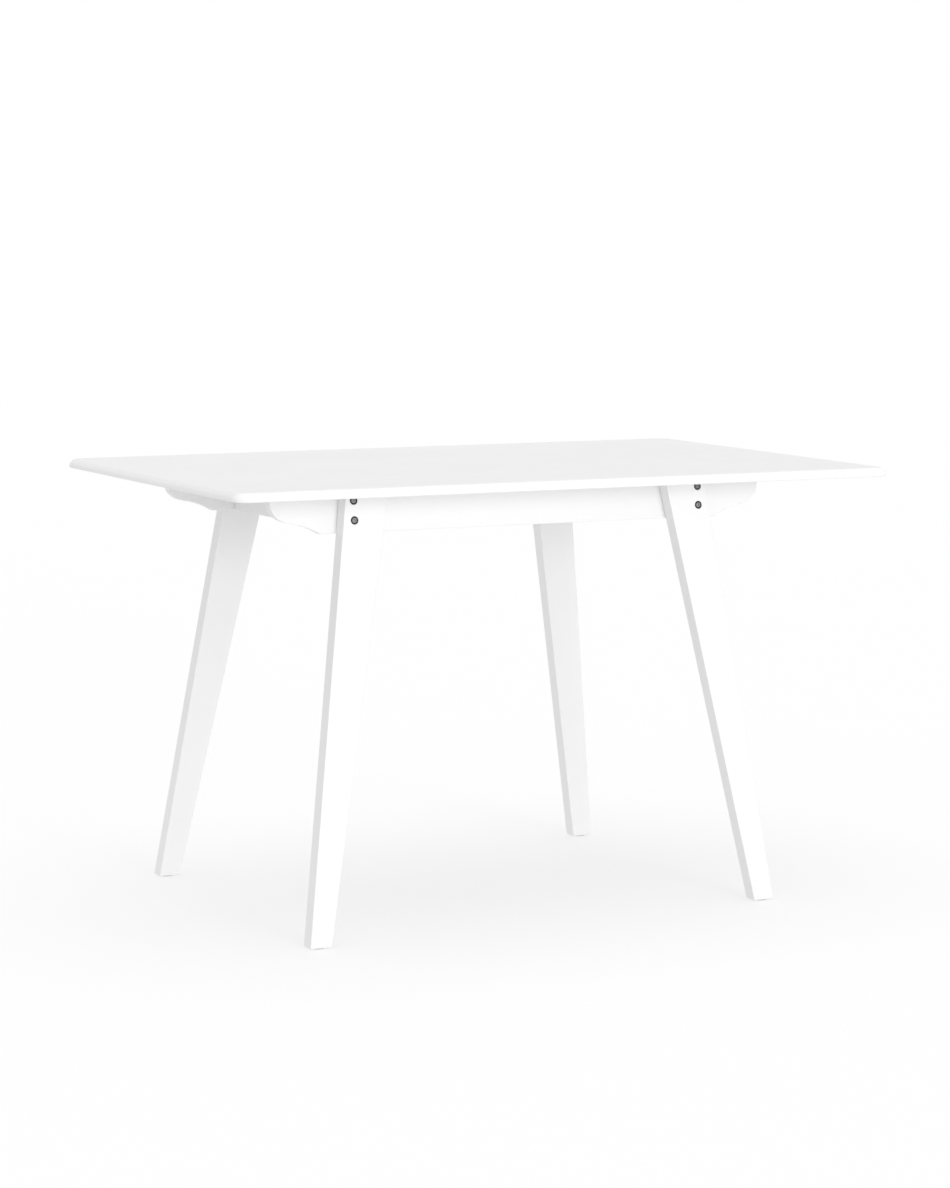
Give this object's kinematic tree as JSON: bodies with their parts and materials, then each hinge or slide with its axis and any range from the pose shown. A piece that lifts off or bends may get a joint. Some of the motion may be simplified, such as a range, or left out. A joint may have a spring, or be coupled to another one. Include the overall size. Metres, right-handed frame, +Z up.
{
  "type": "dining table",
  "caption": "White dining table with a fixed rectangular top, rounded corners and a chamfered edge, on flat tapered legs that splay outwards and are bolted to scroll-ended aprons.",
  "frame": {"origin": "on the floor, under the centre of the top", "axes": "+X along the table's length to the right end, +Y across its depth to the back, +Z up"},
  "size_m": [1.23, 0.76, 0.75],
  "materials": {
    "white_lacquer_top": "satin white lacquer on board, top",
    "white_lacquer": "satin white lacquer on solid wood, frame and legs",
    "black_steel": "black zinc-plated steel, socket-head bolts",
    "zinc_steel": "bright zinc-plated steel",
    "glide_plastic": "matt grey-white nylon"
  },
  "bodies": {
    "root": {"tabletop": "white_lacquer_top", "front_apron": "white_lacquer", "back_apron": "white_lacquer", "left_end_rail": "white_lacquer", "right_end_rail": "white_lacquer", "front_left_leg": "white_lacquer", "front_left_glide": "glide_plastic", "front_left_upper_bolt": "black_steel", "front_left_upper_nut": "zinc_steel", "front_left_lower_bolt": "black_steel", "front_left_lower_nut": "zinc_steel", "front_right_leg": "white_lacquer", "front_right_glide": "glide_plastic", "front_right_upper_bolt": "black_steel", "front_right_upper_nut": "zinc_steel", "front_right_lower_bolt": "black_steel", "front_right_lower_nut": "zinc_steel", "back_left_leg": "white_lacquer", "back_left_glide": "glide_plastic", "back_left_upper_bolt": "black_steel", "back_left_upper_nut": "zinc_steel", "back_left_lower_bolt": "black_steel", "back_left_lower_nut": "zinc_steel", "back_right_leg": "white_lacquer", "back_right_glide": "glide_plastic", "back_right_upper_bolt": "black_steel", "back_right_upper_nut": "zinc_steel", "back_right_lower_bolt": "black_steel", "back_right_lower_nut": "zinc_steel", "front_left_bracket": "zinc_steel", "front_left_bracket_top_screw": "zinc_steel", "front_left_bracket_rail_screw": "zinc_steel", "front_right_bracket": "zinc_steel", "front_right_bracket_top_screw": "zinc_steel", "front_right_bracket_rail_screw": "zinc_steel", "back_left_bracket": "zinc_steel", "back_left_bracket_top_screw": "zinc_steel", "back_left_bracket_rail_screw": "zinc_steel", "back_right_bracket": "zinc_steel", "back_right_bracket_top_screw": "zinc_steel", "back_right_bracket_rail_screw": "zinc_steel", "left_end_bracket": "zinc_steel", "left_end_bracket_top_screw": "zinc_steel", "left_end_bracket_rail_screw": "zinc_steel", "right_end_bracket": "zinc_steel", "right_end_bracket_top_screw": "zinc_steel", "right_end_bracket_rail_screw": "zinc_steel"}
  },
  "joints": []
}
